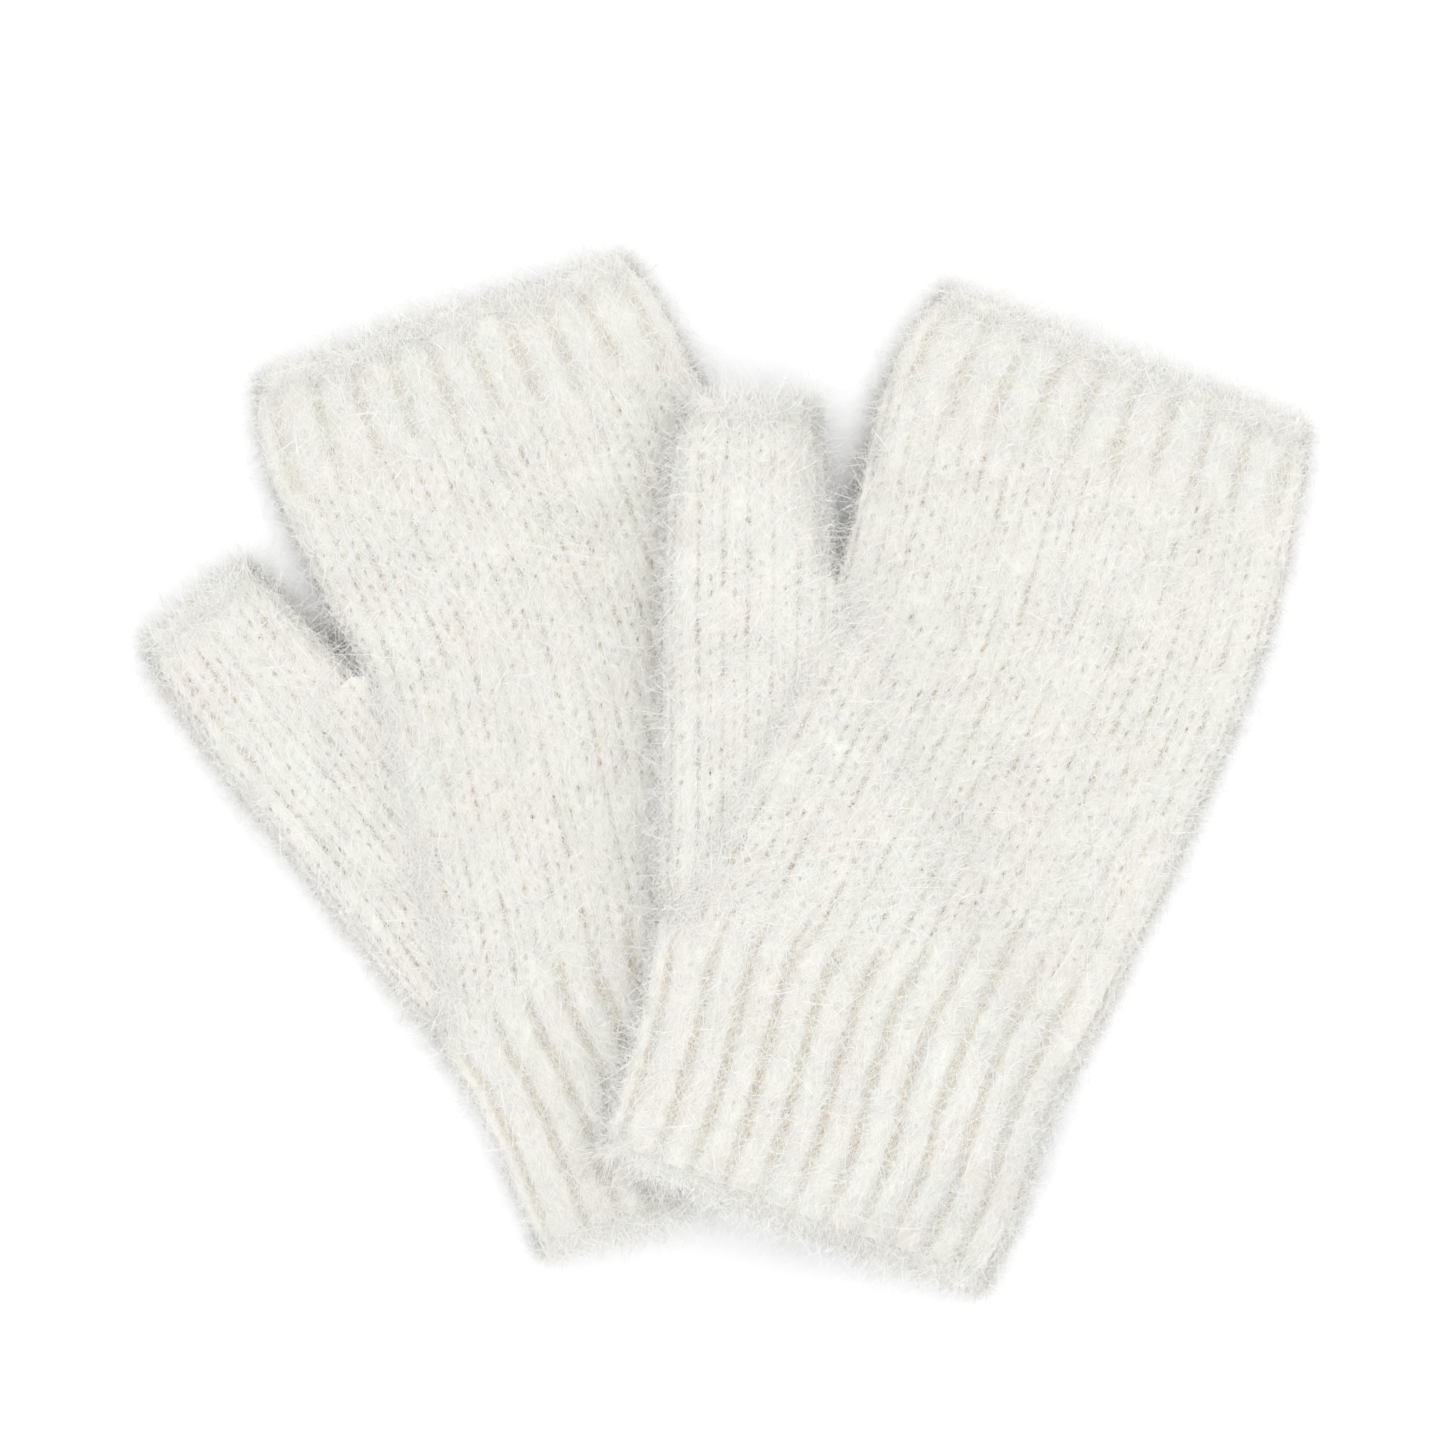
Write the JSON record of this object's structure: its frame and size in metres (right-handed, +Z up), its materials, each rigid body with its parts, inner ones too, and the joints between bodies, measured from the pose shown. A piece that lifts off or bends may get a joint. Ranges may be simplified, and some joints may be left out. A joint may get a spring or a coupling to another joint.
{
  "type": "fingerless gloves",
  "caption": "Pair of hand-knitted fingerless gloves with ribbed cuffs and short thumbs, lying flat, one laid across the other.",
  "frame": {"origin": "middle of the pair's outline, on the surface it lies on", "axes": "+X across the pair, +Y towards the finger openings, +Z up, through the thickness"},
  "size_m": [0.2384, 0.2104, 0.0257],
  "materials": {
    "stockinette_knit": "fluffy plain knit",
    "rib_knit": "fluffy one by one ribbing",
    "edge_yarn": "fluffy yarn edge"
  },
  "bodies": {
    "back_glove": {"back_wrist_edge": "edge_yarn", "back_cuff": "rib_knit", "back_hand": "stockinette_knit", "back_thumb_gusset": "stockinette_knit", "back_thumb_join": "edge_yarn"},
    "back_thumb": {"back_thumb": "stockinette_knit", "back_thumb_edge": "edge_yarn"},
    "back_fingers": {"back_finger_band": "rib_knit", "back_finger_edge": "edge_yarn"},
    "front_glove": {"front_wrist_edge": "edge_yarn", "front_cuff": "rib_knit", "front_hand": "stockinette_knit", "front_thumb_gusset": "stockinette_knit", "front_thumb_join": "edge_yarn"},
    "front_thumb": {"front_thumb": "stockinette_knit", "front_thumb_edge": "edge_yarn"},
    "front_fingers": {"front_finger_band": "rib_knit", "front_finger_edge": "edge_yarn"}
  },
  "joints": [
    {"name": "front_glove_lift", "type": "slide", "parent": "back_glove", "child": "front_glove", "axis": [0, 0, 1], "range_m": [0, 0.06]},
    {"name": "back_thumb_fold", "type": "hinge", "parent": "back_glove", "child": "back_thumb", "pos_m": [-0.08656, 0.0102, 0.012], "axis": [0.7826, 0.6225, 0], "range_deg": [0, 60]},
    {"name": "back_finger_band_fold", "type": "hinge", "parent": "back_glove", "child": "back_fingers", "pos_m": [-0.04779, 0.07043, 0.012], "axis": [0.9483, 0.3173, 0], "range_deg": [0, 60]},
    {"name": "front_thumb_fold", "type": "hinge", "parent": "front_glove", "child": "front_thumb", "pos_m": [0.00627, 0.04034, 0.0254], "axis": [0.9998, -0.0209, 0], "range_deg": [0, 60]},
    {"name": "front_finger_band_fold", "type": "hinge", "parent": "front_glove", "child": "front_fingers", "pos_m": [0.07456, 0.06192, 0.012], "axis": [0.9323, -0.3616, 0], "range_deg": [0, 60]}
  ]
}
